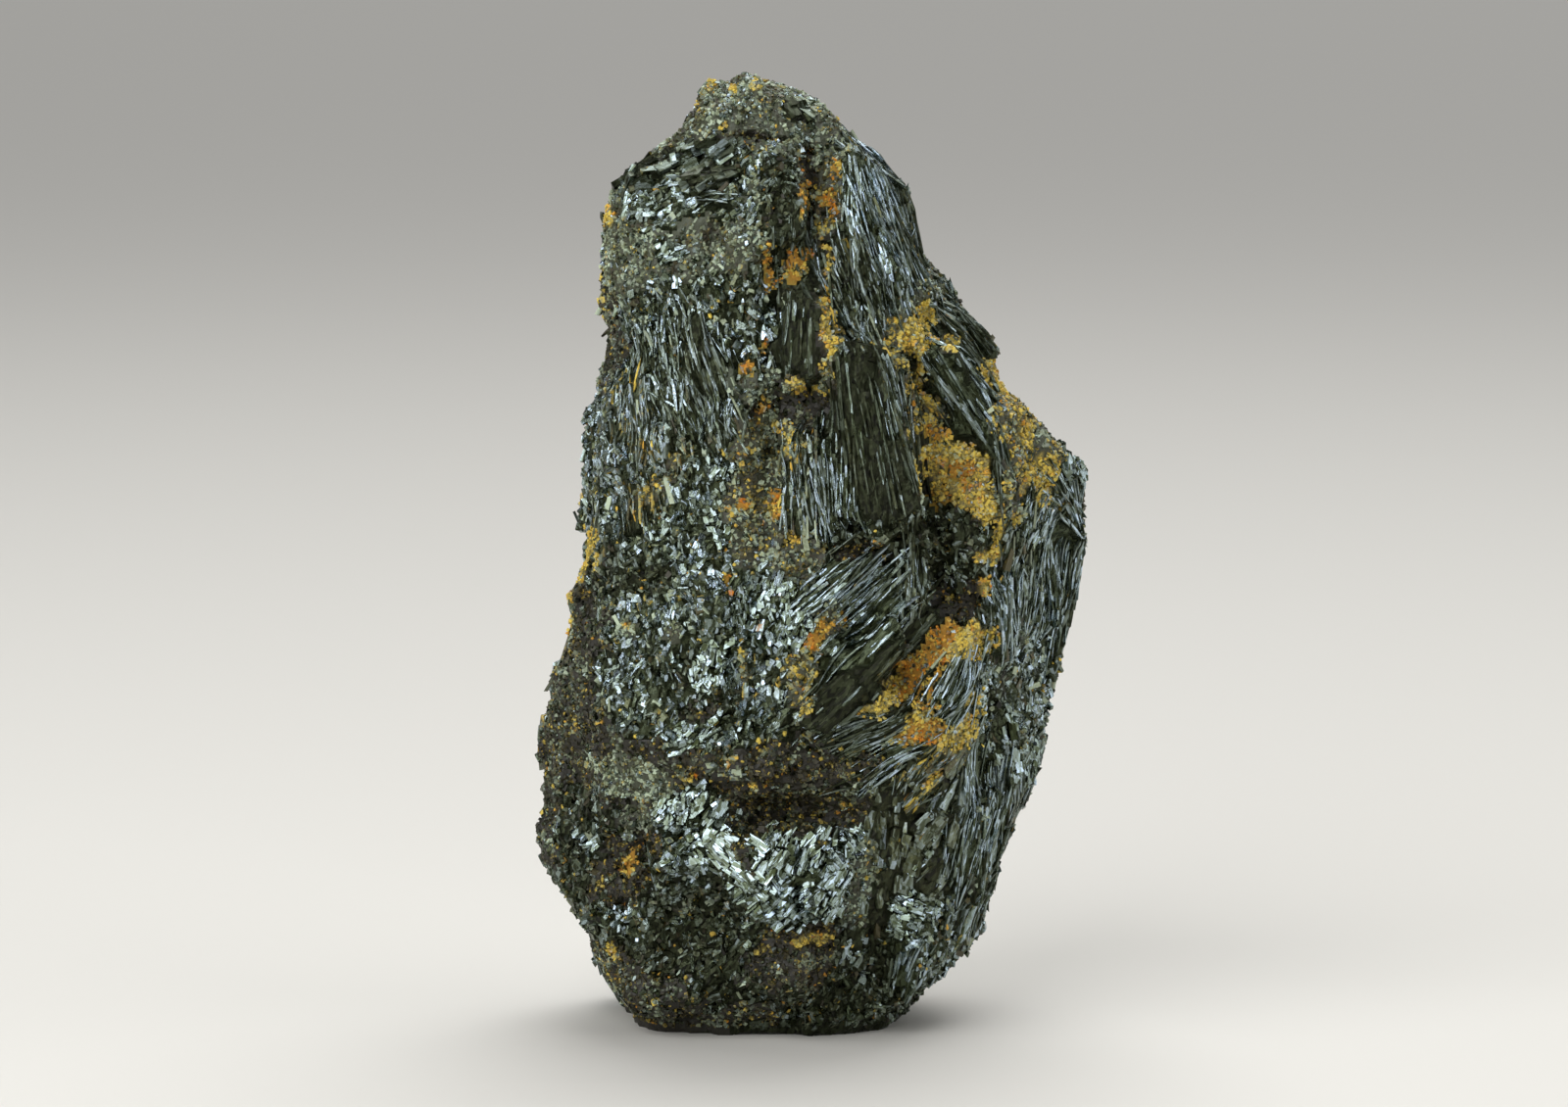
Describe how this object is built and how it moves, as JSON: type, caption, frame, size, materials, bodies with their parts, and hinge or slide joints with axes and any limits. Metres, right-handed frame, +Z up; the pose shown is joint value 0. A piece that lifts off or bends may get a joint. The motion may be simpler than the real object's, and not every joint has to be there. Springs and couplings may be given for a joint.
{
  "type": "massive bladed stibnite specimen",
  "caption": "Free-standing lump of massive lead-grey stibnite: intergrown striated blades and sheaves in a granular ground with ochre seams, on a flat broken foot.",
  "frame": {"origin": "middle of the flat broken foot that the specimen rests on", "axes": "+Z up along the specimen's long side, -Y out of its broken front face, +X to the right seen from the front"},
  "size_m": [0.0759, 0.0551, 0.1299],
  "materials": {
    "stibnite": "lead-grey metallic cleavage faces with olive tarnish and ochre oxide in the cracks"
  },
  "bodies": {
    "root": {"stibnite_mass": "stibnite"}
  },
  "joints": []
}
